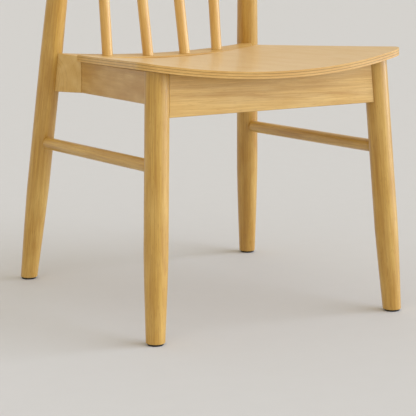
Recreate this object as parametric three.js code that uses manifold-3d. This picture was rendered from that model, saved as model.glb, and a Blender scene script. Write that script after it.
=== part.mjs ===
// Dining chair: dished plywood seat on a rail frame, round splayed legs, spindle back.
// Millimetres, +Z up. The front of the chair faces -Y and +X is its right side seen from the front.
// Everything is laid out from the floor line between the front feet, and the outer group then
// moves the chair so that its footprint is centred on the origin.
import * as THREE from 'three';
import { mergeVertices } from 'three/addons/utils/BufferGeometryUtils.js';
import Module from 'manifold-3d';

const wasm = await Module();
wasm.setup();

// Fit between touching pieces.
const GAP = 0.3;

// Legs and posts: where each axis meets the floor, and how far it moves per millimetre of height.
const FRONT_FOOT = { x: 233, y: 0 };
const FRONT_LEAN = { x: -0.0483, y: 0.0736 };
const REAR_FOOT = { x: 238.5, y: 525 };
const REAR_LEAN = { x: -0.0701, y: -0.1184 };
const LEG_RADIUS = 20.5;
// Round tapers at the feet: a mostly straight cone that eases into the round leg.
const FRONT_TAPER = { radius: 15.8, length: 150 };
const REAR_TAPER = { radius: 15.4, length: 180 };
const TAPER_EASE = 0.35;
// Above the seat the posts grow thinner: radius at each height.
const POST_PROFILE = [
  { radius: 19.1, height: 540 },
  { radius: 17.5, height: 630 },
  { radius: 15.2, height: 700 },
  { radius: 14, height: 790 },
];
const POST_TENON_RADIUS = 9;
const LEG_BLANK_LENGTH = 520;
// Depth of the middle of the chair's outline, which the outer group moves onto the origin.
const FOOTPRINT_CENTRE_Y = 253.56;

// Foot glides.
const GLIDE_RADIUS = 13.5;
const GLIDE_THICKNESS = 3;
const GLIDE_PIN_RADIUS = 2;
const GLIDE_PIN_LENGTH = 14;

// Seat panel: bent across its width, tilted down to the back, bowed along its front edge.
const SEAT_HEIGHT = 440;
const SEAT_TILT = 0.045;
const DISH_RADIUS = 1316;
const PANEL_THICKNESS = 12;
const PANEL_FRONT = { x: 256.5, y: 6, bow: 39 };
const PANEL_REAR = { x: 188.5, y: 402 };
const PANEL_CORNER_RADIUS = 28;

// Front rail, leaning back with the front legs.
const FRONT_RAIL_BOTTOM = 370;
const FRONT_RAIL_THICKNESS = 25;

// Side rails: centre line in plan and bottom edge, front end first.
const SIDE_RAIL_FRONT = { x: 217, y: 42, bottom: 391 };
const SIDE_RAIL_REAR = { x: 169, y: 402, bottom: 365 };
const SIDE_RAIL_THICKNESS = 22;

// Rear rail: a deep block between the posts, bowed forward, with the spindles in its top.
const REAR_RAIL_FRONT = { x: 181, y: 402, bow: 10 };
const REAR_RAIL_BACK = { x: 193, y: 464, bow: 13 };
const REAR_RAIL_HORN = { x: 209.5, y: 466, backX: 201.5, backY: 471 };
const REAR_RAIL_TOP = 425.4;
const REAR_RAIL_BOTTOM = 365;
const REAR_RAIL_DISH_RADIUS = 2450;

// Spindles: base place on the rear rail and backward lean, inner pair first.
const SPINDLES = [
  { x: 38.5, y: 414.4, lean: 0.228 },
  { x: 115, y: 429, lean: 0.128 },
];
const SPINDLE_RADIUS = 10;
const SPINDLE_TOP_RADIUS = 7.5;
const SPINDLE_TENON_RADIUS = 6.5;
const SPINDLE_TENON_LENGTH = 26;

// Crest rail: an upright board bent to one arc in plan.
const CREST_BOTTOM = 752;
const CREST_HEIGHT = 56;
const CREST_RADIUS = 326;
const CREST_CENTRE_Y = 167;
const CREST_THICKNESS = 26;
const CREST_HALF_ANGLE = THREE.MathUtils.degToRad(38.5);
const CREST_EDGE = 3;
const CREST_TENON = 26;

// Side stretchers between a front leg and a rear post.
const STRETCHER_RADIUS = 11;
const STRETCHER_FRONT_HEIGHT = 289;
const STRETCHER_REAR_HEIGHT = 264.5;
const STRETCHER_TENON_RADIUS = 7;
const STRETCHER_TENON_LENGTH = 19;
// The post slants away from the stretcher, so the rear shoulder stops further from its surface.
const STRETCHER_SHOULDER = { front: 0.7, rear: 2 };

// Dowels, bolts, inserts, screws and blocks of the seat frame.
const DOWEL_RADIUS = 4;
const DOWEL_DEPTH_IN_LEG = 18;
const DOWEL_DEPTH_IN_RAIL = 22;
const FRONT_DOWEL_HEIGHTS = [387, 417];
const SIDE_DOWEL_HEIGHTS = [403, 430];
const REAR_DOWEL_HEIGHTS = [383, 406];
const BOLT_HEIGHTS = [383, 412];
const BOLT = {
  radius: 3,
  length: 68,
  headRadius: 6,
  headHeight: 5,
  recess: 8,
  socketRadius: 2.5,
};
const BOLT_DIRECTION = { x: -0.6, y: -0.8 };
const INSERT = { radius: 5.5, length: 18, start: 30 };
const SCREW = { radius: 2, length: 35, headRadius: 4, headHeight: 2.6, recess: 3.5 };

// Corner blocks: plan outline of the left one, bottom height, and its screws, which run one into
// each rail and one up into the seat panel.
const BLOCKS = {
  front: {
    outline: [
      [-186, 35],
      [-130, 35],
      [-130, 43],
      [-196, 113],
      [-215, 113],
      [-215, 60],
      [-203, 60],
    ],
    bottom: 408,
    screws: [
      { start: [-152, 63, 421], direction: [0, -1, 0], length: SCREW.length },
      { start: [-175, 88, 424], direction: [-0.991, 0.133, 0], length: SCREW.length },
      { start: [-166, 73, 408 + SCREW.recess], direction: [0, 0, 1], length: 31 },
    ],
  },
  rear: {
    outline: [
      [-95, 405],
      [-175, 405],
      [-175, 335],
      [-167, 335],
      [-95, 396],
    ],
    bottom: 391,
    screws: [
      { start: [-122, 376, 402], direction: [0, 1, 0], length: SCREW.length },
      { start: [-137, 361, 402], direction: [-0.991, 0.133, 0], length: SCREW.length },
      { start: [-146, 379, 391 + SCREW.recess], direction: [0, 0, 1], length: 29 },
    ],
  },
};
const CLEAT = { halfLength: 86, depth: 20, bottom: 391 };
const CLEAT_SCREW = { x: 55, height: 399, length: 32 };

// Vertical planes and boxes used only for cutting reach past the chair by this much.
const REACH = 600;
const ROUND_SEGMENTS = 20;
const MEDIUM_SEGMENTS = 16;
const SMALL_SEGMENTS = 10;
const UP = new THREE.Vector3(0, 0, 1);

// ---------------------------------------------------------------- materials

const finish = (color, roughness, metalness = 0) =>
  new THREE.MeshStandardMaterial({ color, roughness, metalness });

const WOOD = {
  leg: () => finish(0xd0a465, 0.45),
  rail: () => finish(0xcfa26a, 0.45),
  ply: () => finish(0xd6b98d, 0.4),
  turned: () => finish(0xd3a763, 0.45),
  hidden: () => finish(0xc7a574, 0.6),
  dowel: () => finish(0xdcc394, 0.65),
};
const GLIDE_PLASTIC = () => finish(0x1c1b1a, 0.55);
const ZINC_STEEL = () => finish(0xb9bcc0, 0.35, 1);
const BLACK_STEEL = () => finish(0x2a2b2d, 0.45, 1);

// ---------------------------------------------------------------- solids from geometry

// A closed geometry as a solid, with its faces turned outward.
function solid(geometry) {
  const plain = geometry.index ? geometry.toNonIndexed() : geometry.clone();
  plain.deleteAttribute('normal');
  plain.deleteAttribute('uv');
  const merged = mergeVertices(plain, 1e-4);
  const place = merged.getAttribute('position');
  const index = merged.getIndex().array;
  const corners = [];
  let volume = 0;
  const a = new THREE.Vector3();
  const b = new THREE.Vector3();
  const c = new THREE.Vector3();
  for (let i = 0; i < index.length; i += 3) {
    const [p, q, r] = [index[i], index[i + 1], index[i + 2]];
    if (p === q || q === r || r === p) {
      continue;
    }
    corners.push([p, q, r]);
    a.fromBufferAttribute(place, p);
    b.fromBufferAttribute(place, q);
    c.fromBufferAttribute(place, r);
    volume += a.dot(b.cross(c));
  }
  const outward = volume > 0 ? corners : corners.map(([p, q, r]) => [p, r, q]);
  return new wasm.Manifold(
    new wasm.Mesh({
      numProp: 3,
      vertProperties: new Float32Array(place.array),
      triVerts: new Uint32Array(outward.flat()),
    }),
  );
}

// A solid as a geometry with flat faces.
function geometryOf(body) {
  const { vertProperties, triVerts } = body.getMesh();
  const indexed = new THREE.BufferGeometry();
  indexed.setAttribute('position', new THREE.BufferAttribute(new Float32Array(vertProperties), 3));
  indexed.setIndex(new THREE.BufferAttribute(new Uint32Array(triVerts), 1));
  const flat = indexed.toNonIndexed();
  flat.computeVertexNormals();
  return flat;
}

const cutAll = (body, tools) => tools.reduce((rest, tool) => rest.subtract(tool), body);

// A turned shape about +Z from [radius, height] pairs; the outline is closed onto the axis.
function turned(outline, segments = ROUND_SEGMENTS) {
  const closed = [[0, outline[0][1]], ...outline, [0, outline.at(-1)[1]]];
  const points = closed.map(([radius, height]) => new THREE.Vector2(radius, height));
  return new THREE.LatheGeometry(points, segments).rotateX(Math.PI / 2);
}

// Carries a shape made about +Z so that it starts at one point and runs in a direction.
function aim(geometry, start, direction) {
  const turn = new THREE.Quaternion().setFromUnitVectors(UP, direction.clone().normalize());
  return geometry.clone().applyQuaternion(turn).translate(start.x, start.y, start.z);
}

const rod = (radius, length, segments = SMALL_SEGMENTS) =>
  turned([[radius, 0], [radius, length]], segments);

const box = (x0, x1, y0, y1, z0, z1) =>
  new THREE.BoxGeometry(x1 - x0, y1 - y0, z1 - z0).translate(
    (x0 + x1) / 2,
    (y0 + y1) / 2,
    (z0 + z1) / 2,
  );

// A straight hole with room for a round piece that starts at a point and runs in a direction.
function hole(start, direction, radius, length, segments = SMALL_SEGMENTS) {
  return solid(aim(rod(radius + GAP, length, segments), start, direction));
}

const extrude = (shape, depth, curveSegments = 12) =>
  new THREE.ExtrudeGeometry(shape, { depth, curveSegments, bevelEnabled: false });

// ---------------------------------------------------------------- layout

const frontAxis = (side, z) =>
  new THREE.Vector3(
    side * (FRONT_FOOT.x + FRONT_LEAN.x * z),
    FRONT_FOOT.y + FRONT_LEAN.y * z,
    z,
  );
const rearAxis = (side, z) =>
  new THREE.Vector3(side * (REAR_FOOT.x + REAR_LEAN.x * z), REAR_FOOT.y + REAR_LEAN.y * z, z);
const frontDirection = (side) => frontAxis(side, 1).sub(frontAxis(side, 0)).normalize();
const rearDirection = (side) => rearAxis(side, 1).sub(rearAxis(side, 0)).normalize();

// Plan direction of a side rail, from the front leg to the rear rail.
function sideRailDirection(side) {
  const x = side * (SIDE_RAIL_REAR.x - SIDE_RAIL_FRONT.x);
  return new THREE.Vector3(x, SIDE_RAIL_REAR.y - SIDE_RAIL_FRONT.y, 0).normalize();
}

// The point of a side rail's centre plane at one depth and height.
function sideRailPoint(side, y, z) {
  const share = (y - SIDE_RAIL_FRONT.y) / (SIDE_RAIL_REAR.y - SIDE_RAIL_FRONT.y);
  const x = SIDE_RAIL_FRONT.x + share * (SIDE_RAIL_REAR.x - SIDE_RAIL_FRONT.x);
  return new THREE.Vector3(side * x, y, z);
}

// Height of a surface bent across X: an arc of one radius, lowest at x = 0.
const arcRise = (radius, x) => radius - Math.sqrt(radius * radius - x * x);
const seatUnderside = (x, y) =>
  SEAT_HEIGHT + arcRise(DISH_RADIUS, x) - SEAT_TILT * y - PANEL_THICKNESS;

// Front face of the rear rail at one x.
const rearRailFace = (x) =>
  REAR_RAIL_FRONT.y - REAR_RAIL_FRONT.bow * (1 - (x / REAR_RAIL_FRONT.x) ** 2);

// ---------------------------------------------------------------- the seat surface

// A prism along Y whose section lies between two arcs, or between one arc and a flat top.
function dishedPrism(lowerDepth, top, halfWidth = 300) {
  const shape = new THREE.Shape();
  const arc = (radius) => Math.asin(halfWidth / radius);
  const low = DISH_RADIUS + lowerDepth;
  shape.absarc(0, DISH_RADIUS, low, -Math.PI / 2 - arc(low), -Math.PI / 2 + arc(low), false);
  if (top === null) {
    const a = arc(DISH_RADIUS);
    shape.absarc(0, DISH_RADIUS, DISH_RADIUS, -Math.PI / 2 + a, -Math.PI / 2 - a, true);
  } else {
    shape.lineTo(halfWidth, top);
    shape.lineTo(-halfWidth, top);
  }
  return extrude(shape, 2 * REACH, 16)
    .rotateX(Math.PI / 2)
    .translate(0, REACH, 0)
    .rotateX(-SEAT_TILT)
    .translate(0, 0, SEAT_HEIGHT);
}

// Everything above the seat panel's underside, used to cut what the panel rests on.
const aboveUnderside = solid(dishedPrism(PANEL_THICKNESS + GAP, 150));

// An arc through two corners and a middle point that is bowed away from the chord.
function bowedEdge(shape, from, to, bow) {
  const half = Math.abs(to.x - from.x) / 2;
  const radius = (half * half + bow * bow) / (2 * Math.abs(bow));
  const spread = Math.asin(half / radius);
  const centre = from.y - bow + Math.sign(bow) * radius;
  const facing = bow > 0 ? -Math.PI / 2 : Math.PI / 2;
  const turn = Math.sign(to.x - from.x) * Math.sign(bow);
  shape.absarc(0, centre, radius, facing - turn * spread, facing + turn * spread, turn < 0);
}

// ---------------------------------------------------------------- rear rail

function rearRailOutline(grow) {
  const shape = new THREE.Shape();
  const front = { x: REAR_RAIL_FRONT.x + grow, y: REAR_RAIL_FRONT.y - grow };
  const back = { x: REAR_RAIL_BACK.x, y: REAR_RAIL_BACK.y };
  bowedEdge(shape, { x: -front.x, y: front.y }, front, REAR_RAIL_FRONT.bow);
  shape.lineTo(REAR_RAIL_HORN.x + grow, REAR_RAIL_HORN.y);
  shape.lineTo(REAR_RAIL_HORN.backX, REAR_RAIL_HORN.backY);
  bowedEdge(shape, back, { x: -back.x, y: back.y }, REAR_RAIL_BACK.bow);
  shape.lineTo(-REAR_RAIL_HORN.backX, REAR_RAIL_HORN.backY);
  shape.lineTo(-REAR_RAIL_HORN.x - grow, REAR_RAIL_HORN.y);
  return shape;
}

// The rail's plan as a tall prism, grown by the fit, for cutting what stops against its front.
const rearRailPrism = solid(extrude(rearRailOutline(GAP), 2 * REACH).translate(0, 0, -REACH / 2));

// Everything above the rear rail's shallow dished top, moved by an offset.
function aboveRearRail(offset) {
  const width = 280;
  const shape = new THREE.Shape();
  const spread = Math.asin(width / REAR_RAIL_DISH_RADIUS);
  shape.absarc(
    0,
    REAR_RAIL_DISH_RADIUS,
    REAR_RAIL_DISH_RADIUS,
    -Math.PI / 2 - spread,
    -Math.PI / 2 + spread,
    false,
  );
  shape.lineTo(width, REACH);
  shape.lineTo(-width, REACH);
  return solid(
    extrude(shape, REACH, 10)
      .rotateX(Math.PI / 2)
      .translate(0, 2 * REACH - REACH / 2, REAR_RAIL_TOP + offset),
  );
}

// ---------------------------------------------------------------- fasteners: places

const sides = { left: -1, right: 1 };

function frontDowels(side) {
  return FRONT_DOWEL_HEIGHTS.map((z) => {
    const direction = new THREE.Vector3(-side, 0, 0);
    const start = frontAxis(side, z).addScaledVector(direction, LEG_RADIUS - DOWEL_DEPTH_IN_LEG);
    return { start, direction };
  });
}

function sideDowels(side) {
  return SIDE_DOWEL_HEIGHTS.map((z) => {
    const direction = sideRailDirection(side);
    const start = sideRailPoint(side, frontAxis(side, z).y, z);
    return { start: start.addScaledVector(direction, LEG_RADIUS - DOWEL_DEPTH_IN_LEG), direction };
  });
}

function rearDowels(side) {
  return REAR_DOWEL_HEIGHTS.map((z) => {
    const direction = sideRailDirection(side);
    const face = sideRailPoint(side, rearRailFace(SIDE_RAIL_REAR.x), z);
    return { start: face.addScaledVector(direction, -DOWEL_DEPTH_IN_RAIL), direction };
  });
}

const DOWEL_LENGTH = DOWEL_DEPTH_IN_LEG + DOWEL_DEPTH_IN_RAIL;

// Room for a dowel, with a millimetre to spare past each end.
function dowelHole({ start, direction }) {
  const from = start.clone().addScaledVector(direction, -1);
  return hole(from, direction, DOWEL_RADIUS, DOWEL_LENGTH + 2);
}

// Post bolts start at the bottom of a recess in the back of the post and run into the rail.
function postBolts(side) {
  return BOLT_HEIGHTS.map((z) => {
    const direction = new THREE.Vector3(side * BOLT_DIRECTION.x, BOLT_DIRECTION.y, 0);
    const start = rearAxis(side, z).addScaledVector(direction, BOLT.recess - LEG_RADIUS);
    return { start, direction, axis: rearAxis(side, z) };
  });
}

function boltShankHole({ start, direction }) {
  const from = start.clone().addScaledVector(direction, -1);
  return hole(from, direction, BOLT.radius, BOLT.length + 3);
}

function boltHole({ start, direction }) {
  const mouth = start.clone().addScaledVector(direction, -BOLT.recess - 10);
  const recess = hole(mouth, direction, BOLT.headRadius, BOLT.recess + 10, MEDIUM_SEGMENTS);
  return boltShankHole({ start, direction }).add(recess);
}

const insertStart = ({ axis, direction }) => axis.clone().addScaledVector(direction, INSERT.start);
const insertHole = (bolt) =>
  hole(insertStart(bolt), bolt.direction, INSERT.radius, INSERT.length + GAP);

// The screws of a block on one side of the chair.
function blockScrews(end, side) {
  return BLOCKS[end].screws.map(({ start, direction, length }) => ({
    start: new THREE.Vector3(-side * start[0], start[1], start[2]),
    direction: new THREE.Vector3(-side * direction[0], direction[1], direction[2]).normalize(),
    length,
  }));
}

const cleatFront = rearRailFace(0) - CLEAT.depth;
const cleatScrews = [-1, 1].map((side) => ({
  start: new THREE.Vector3(side * CLEAT_SCREW.x, cleatFront + SCREW.recess, CLEAT_SCREW.height),
  direction: new THREE.Vector3(0, 1, 0),
  length: CLEAT_SCREW.length,
}));

// Room for a screw: its shank, its head and the recess that the head sits in.
function screwHole({ start, direction, length }) {
  const shank = hole(start, direction, SCREW.radius, length + 1);
  const back = start.clone().addScaledVector(direction, -20);
  const reach = 20 + SCREW.headHeight + GAP;
  return shank.add(hole(back, direction, SCREW.headRadius, reach));
}

const allScrews = (side) => [...blockScrews('front', side), ...blockScrews('rear', side)];

// ---------------------------------------------------------------- wooden members

// Radius along a leg: a rounded taper over the lowest stretch, then straight.
function taperOutline(taper, top) {
  const steps = 6;
  const outline = [];
  for (let i = 0; i <= steps; i += 1) {
    const share = i / steps;
    const swell = TAPER_EASE * Math.sin((share * Math.PI) / 2) + (1 - TAPER_EASE) * share;
    outline.push([taper.radius + (LEG_RADIUS - taper.radius) * swell, share * taper.length]);
  }
  return [...outline, ...top];
}

const belowFoot = solid(
  box(-REACH, REACH, -REACH, 2 * REACH, -REACH, GLIDE_THICKNESS + GAP),
);

function glideHole(axis, side) {
  return hole(axis(side, 0).setZ(0), UP, GLIDE_PIN_RADIUS, GLIDE_THICKNESS + GLIDE_PIN_LENGTH + 1);
}

function stretcherEnds(side) {
  const front = frontAxis(side, STRETCHER_FRONT_HEIGHT);
  const rear = rearAxis(side, STRETCHER_REAR_HEIGHT);
  const direction = rear.clone().sub(front).normalize();
  return { front, rear, direction, span: front.distanceTo(rear) };
}

// The mortises for both ends of a stretcher, as one straight hole that stops inside each leg.
function stretcherHole(side) {
  const { front, direction, span } = stretcherEnds(side);
  const inset = LEG_RADIUS - STRETCHER_TENON_LENGTH - 1;
  const start = front.addScaledVector(direction, inset);
  return hole(start, direction, STRETCHER_TENON_RADIUS, span - 2 * inset, ROUND_SEGMENTS);
}

function frontLeg(side) {
  const outline = taperOutline(FRONT_TAPER, [[LEG_RADIUS, LEG_BLANK_LENGTH]]);
  const start = frontAxis(side, 0).addScaledVector(frontDirection(side), -2);
  return cutAll(solid(aim(turned(outline), start, frontDirection(side))), [
    aboveUnderside,
    belowFoot,
    glideHole(frontAxis, side),
    stretcherHole(side),
    ...frontDowels(side).map(dowelHole),
    ...sideDowels(side).map(dowelHole),
  ]);
}

// A full-length round bar on a leg or post axis, grown by the fit, for coping rail ends.
function legRoom(axis, direction, side) {
  const start = axis(side, 300);
  return solid(aim(rod(LEG_RADIUS + GAP, 200, ROUND_SEGMENTS), start, direction(side)));
}

function rearPost(side) {
  const direction = rearDirection(side);
  const slant = 1 / direction.z;
  const upper = POST_PROFILE.map(({ radius, height }) => [radius, height * slant]);
  const outline = taperOutline(REAR_TAPER, [[LEG_RADIUS, REAR_RAIL_TOP * slant], ...upper]);
  const start = rearAxis(side, 0).addScaledVector(direction, -2);
  const body = solid(aim(turned(outline), start, direction)).subtract(
    solid(box(-REACH, REACH, -REACH, 2 * REACH, CREST_BOTTOM - GAP, 2 * REACH)),
  );
  const root = 40;
  const tenon = rod(POST_TENON_RADIUS, (CREST_TENON + root) * slant, ROUND_SEGMENTS);
  const tenonBody = solid(aim(tenon, rearAxis(side, CREST_BOTTOM - root), direction));
  return cutAll(body.add(tenonBody), [
    belowFoot,
    glideHole(rearAxis, side),
    stretcherHole(side),
    ...postBolts(side).map(boltHole),
  ]);
}

function frontRail(grow = 0) {
  const half = FRONT_RAIL_THICKNESS / 2 + grow;
  const lean = Math.atan(FRONT_LEAN.y);
  const front = frontAxis(1, FRONT_RAIL_BOTTOM);
  return solid(
    box(-front.x, front.x, -half, half, 0, 120)
      .rotateX(-lean)
      .translate(0, front.y, FRONT_RAIL_BOTTOM - half * Math.sin(lean)),
  );
}

function finishedFrontRail() {
  const tools = [aboveUnderside];
  for (const side of Object.values(sides)) {
    tools.push(legRoom(frontAxis, frontDirection, side));
    tools.push(...frontDowels(side).map(dowelHole));
    tools.push(...blockScrews('front', side).map(screwHole));
  }
  return cutAll(frontRail(), tools);
}

// A side rail before it is fitted: an upright board along its plan line, sloping down to the back.
function sideRail(side, grow = 0) {
  const from = sideRailPoint(side, SIDE_RAIL_FRONT.y - 14, 0);
  const to = sideRailPoint(side, SIDE_RAIL_REAR.y + 12, 0);
  const slope =
    (SIDE_RAIL_REAR.bottom - SIDE_RAIL_FRONT.bottom) / (SIDE_RAIL_REAR.y - SIDE_RAIL_FRONT.y);
  const bottom = (y) => SIDE_RAIL_FRONT.bottom + slope * (y - SIDE_RAIL_FRONT.y) - grow;
  const length = from.distanceTo(to);
  const shape = new THREE.Shape();
  shape.moveTo(0, bottom(from.y));
  shape.lineTo(length, bottom(to.y));
  shape.lineTo(length, SEAT_HEIGHT + 60);
  shape.lineTo(0, SEAT_HEIGHT + 60);
  const thickness = SIDE_RAIL_THICKNESS + 2 * grow;
  const direction = sideRailDirection(side);
  const heading = Math.atan2(direction.y, direction.x);
  return solid(
    extrude(shape, thickness)
      .translate(0, 0, -thickness / 2)
      .rotateX(Math.PI / 2)
      .rotateZ(heading)
      .translate(from.x, from.y, 0),
  );
}

function finishedSideRail(side) {
  return cutAll(sideRail(side), [
    aboveUnderside,
    legRoom(frontAxis, frontDirection, side),
    rearRailPrism,
    ...sideDowels(side).map(dowelHole),
    ...rearDowels(side).map(dowelHole),
    ...allScrews(side).map(screwHole),
  ]);
}

// Axis of a spindle: a point at a height and its direction.
const spindleDirection = ({ lean }) => new THREE.Vector3(0, lean, 1).normalize();
function spindlePoint({ x, y, lean }, side, z) {
  return new THREE.Vector3(side * x, y + lean * (z - REAR_RAIL_TOP), z);
}

function spindleHole(spindle, side) {
  const from = spindlePoint(spindle, side, REAR_RAIL_TOP - SPINDLE_TENON_LENGTH - 1);
  const length = CREST_BOTTOM + CREST_TENON + 1 - from.z;
  const direction = spindleDirection(spindle);
  return hole(from, direction, SPINDLE_TENON_RADIUS, length / direction.z, MEDIUM_SEGMENTS);
}

function postTenonHole(side) {
  const direction = rearDirection(side);
  const start = rearAxis(side, CREST_BOTTOM - 10);
  const length = (CREST_TENON + 11) / direction.z;
  return hole(start, direction, POST_TENON_RADIUS, length, ROUND_SEGMENTS);
}

const spindlePlaces = [];
for (const side of Object.values(sides)) {
  for (const spindle of SPINDLES) {
    spindlePlaces.push({ spindle, side });
  }
}
spindlePlaces.sort((a, b) => a.side * a.spindle.x - b.side * b.spindle.x);

function spindleBody({ spindle, side }) {
  const direction = spindleDirection(spindle);
  const low = REAR_RAIL_TOP - 10;
  const high = CREST_BOTTOM + 10;
  const length = (high - low) / direction.z;
  const outline = [
    [SPINDLE_RADIUS, 0],
    [SPINDLE_RADIUS, 0.55 * length],
    [SPINDLE_RADIUS - 0.7, 0.75 * length],
    [SPINDLE_TOP_RADIUS, length],
  ];
  const shape = turned(outline, MEDIUM_SEGMENTS);
  const shaft = solid(aim(shape, spindlePoint(spindle, side, low), direction));
  const between = shaft
    .intersect(aboveRearRail(GAP))
    .subtract(solid(box(-REACH, REACH, 0, 2 * REACH, CREST_BOTTOM - GAP, 2 * REACH)));
  const from = spindlePoint(spindle, side, REAR_RAIL_TOP - SPINDLE_TENON_LENGTH);
  const tenonLength = (CREST_BOTTOM + CREST_TENON - from.z) / direction.z;
  const tenon = rod(SPINDLE_TENON_RADIUS, tenonLength, MEDIUM_SEGMENTS);
  return between.add(solid(aim(tenon, from, direction)));
}

function rearRail() {
  const body = solid(extrude(rearRailOutline(0), REACH).translate(0, 0, REAR_RAIL_BOTTOM - 60));
  const below = solid(
    box(-REACH, REACH, -REACH, REACH, -REACH, 0)
      .rotateX(-SEAT_TILT)
      .translate(0, REAR_RAIL_FRONT.y, REAR_RAIL_BOTTOM),
  );
  const tools = [below, aboveRearRail(0)];
  for (const side of Object.values(sides)) {
    tools.push(legRoom(rearAxis, rearDirection, side));
    tools.push(...rearDowels(side).map(dowelHole));
    tools.push(...blockScrews('rear', side).map(screwHole));
    for (const bolt of postBolts(side)) {
      tools.push(boltShankHole(bolt));
      tools.push(insertHole(bolt));
    }
  }
  tools.push(...cleatScrews.map(screwHole));
  tools.push(...spindlePlaces.map(({ spindle, side }) => spindleHole(spindle, side)));
  return cutAll(body, tools);
}

function seatPanel() {
  const shape = new THREE.Shape();
  const front = PANEL_FRONT;
  const r = PANEL_CORNER_RADIUS;
  const half = front.x - r;
  const drop = front.bow * (1 - (half / front.x) ** 2);
  const edge = { x: half, y: front.y - drop };
  const rear = PANEL_REAR;
  const run = (rear.x - front.x) / (rear.y - front.y);
  bowedEdge(shape, { x: -edge.x, y: edge.y }, edge, front.bow - drop);
  shape.quadraticCurveTo(front.x, front.y, front.x + run * r, front.y + r);
  shape.lineTo(rear.x, rear.y);
  shape.lineTo(-rear.x, rear.y);
  shape.lineTo(-front.x - run * r, front.y + r);
  shape.quadraticCurveTo(-front.x, front.y, -edge.x, edge.y);
  const plan = solid(
    extrude(shape, 200, 12).translate(0, 0, -100).rotateX(-SEAT_TILT).translate(0, 0, SEAT_HEIGHT),
  );
  const tools = [rearRailPrism];
  for (const side of Object.values(sides)) {
    const upward = allScrews(side).filter(({ direction }) => direction.z > 0.5);
    tools.push(...upward.map(screwHole));
  }
  return cutAll(plan.intersect(solid(dishedPrism(PANEL_THICKNESS, null))), tools);
}

function crestRail() {
  const shape = new THREE.Shape();
  const inner = CREST_RADIUS - CREST_THICKNESS / 2;
  const outer = CREST_RADIUS + CREST_THICKNESS / 2;
  const [a0, a1] = [Math.PI / 2 - CREST_HALF_ANGLE, Math.PI / 2 + CREST_HALF_ANGLE];
  const cap = (angle, from) =>
    shape.absarc(
      CREST_RADIUS * Math.cos(angle),
      CREST_RADIUS * Math.sin(angle),
      CREST_THICKNESS / 2 - CREST_EDGE,
      from,
      from + Math.PI,
      false,
    );
  shape.absarc(0, 0, outer - CREST_EDGE, a0, a1, false);
  cap(a1, a1);
  shape.absarc(0, 0, inner + CREST_EDGE, a1, a0, true);
  cap(a0, a0 + Math.PI);
  const board = new THREE.ExtrudeGeometry(shape, {
    depth: CREST_HEIGHT - 2 * CREST_EDGE,
    curveSegments: 10,
    bevelEnabled: true,
    bevelThickness: CREST_EDGE,
    bevelSize: CREST_EDGE,
    bevelSegments: 1,
  }).translate(0, CREST_CENTRE_Y, CREST_BOTTOM + CREST_EDGE);
  const tools = spindlePlaces.map(({ spindle, side }) => spindleHole(spindle, side));
  for (const side of Object.values(sides)) {
    tools.push(postTenonHole(side));
  }
  return cutAll(solid(board), tools);
}

// One end of a stretcher, measured from the axis of the leg that it enters.
function stretcherEnd(shoulder) {
  return [
    [STRETCHER_TENON_RADIUS, LEG_RADIUS - STRETCHER_TENON_LENGTH],
    [STRETCHER_TENON_RADIUS, shoulder],
    [STRETCHER_RADIUS - 2.4, shoulder],
    [STRETCHER_RADIUS - 0.7, shoulder + 2.2],
    [STRETCHER_RADIUS, shoulder + 6],
  ];
}

function stretcher(side) {
  const { front, direction, span } = stretcherEnds(side);
  const near = stretcherEnd(LEG_RADIUS + STRETCHER_SHOULDER.front);
  const far = stretcherEnd(LEG_RADIUS + STRETCHER_SHOULDER.rear);
  const mirrored = far.map(([radius, height]) => [radius, span - height]).reverse();
  return { geometry: turned([...near, ...mirrored]), start: front, direction };
}

function cornerBlock(end, side) {
  const { outline, bottom } = BLOCKS[end];
  const shape = new THREE.Shape(outline.map(([x, y]) => new THREE.Vector2(-side * x, y)));
  return cutAll(solid(extrude(shape, 80).translate(0, 0, bottom)), [
    aboveUnderside,
    frontRail(GAP),
    sideRail(side, GAP),
    rearRailPrism,
    legRoom(frontAxis, frontDirection, side),
    ...blockScrews(end, side).map(screwHole),
  ]);
}

function rearCleat() {
  const half = CLEAT.halfLength;
  const back = cleatFront + CLEAT.depth + REAR_RAIL_FRONT.bow;
  const body = solid(box(-half, half, cleatFront, back, CLEAT.bottom, SEAT_HEIGHT));
  return cutAll(body, [aboveUnderside, rearRailPrism, ...cleatScrews.map(screwHole)]);
}

// ---------------------------------------------------------------- small hardware

const glideShape = turned(
  [
    [GLIDE_RADIUS - 1, 0],
    [GLIDE_RADIUS, 1],
    [GLIDE_RADIUS, GLIDE_THICKNESS],
    [GLIDE_PIN_RADIUS, GLIDE_THICKNESS],
    [GLIDE_PIN_RADIUS, GLIDE_THICKNESS + GLIDE_PIN_LENGTH],
  ],
  ROUND_SEGMENTS,
);

const dowelShape = turned(
  [
    [DOWEL_RADIUS - 1, 0],
    [DOWEL_RADIUS, 1],
    [DOWEL_RADIUS, DOWEL_LENGTH - 1],
    [DOWEL_RADIUS - 1, DOWEL_LENGTH],
  ],
  SMALL_SEGMENTS,
);

// A countersunk screw with its head at the origin, running along +Z.
function screwShape(length) {
  return turned(
    [
      [SCREW.headRadius, 0],
      [SCREW.radius, SCREW.headHeight],
      [SCREW.radius, length - 4],
      [0.4, length],
    ],
    SMALL_SEGMENTS,
  );
}

// A cap bolt with a hexagon socket; its head bears on the bottom of the post's recess.
function boltShape() {
  const top = -BOLT.headHeight;
  const shank = solid(rod(BOLT.radius, BOLT.length + 0.5).translate(0, 0, -0.5));
  const head = solid(rod(BOLT.headRadius, BOLT.headHeight, MEDIUM_SEGMENTS).translate(0, 0, top));
  const socket = solid(rod(BOLT.socketRadius, 4, 6).translate(0, 0, top - 1));
  return geometryOf(shank.add(head).subtract(socket)).translate(0, 0, -GAP);
}

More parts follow.
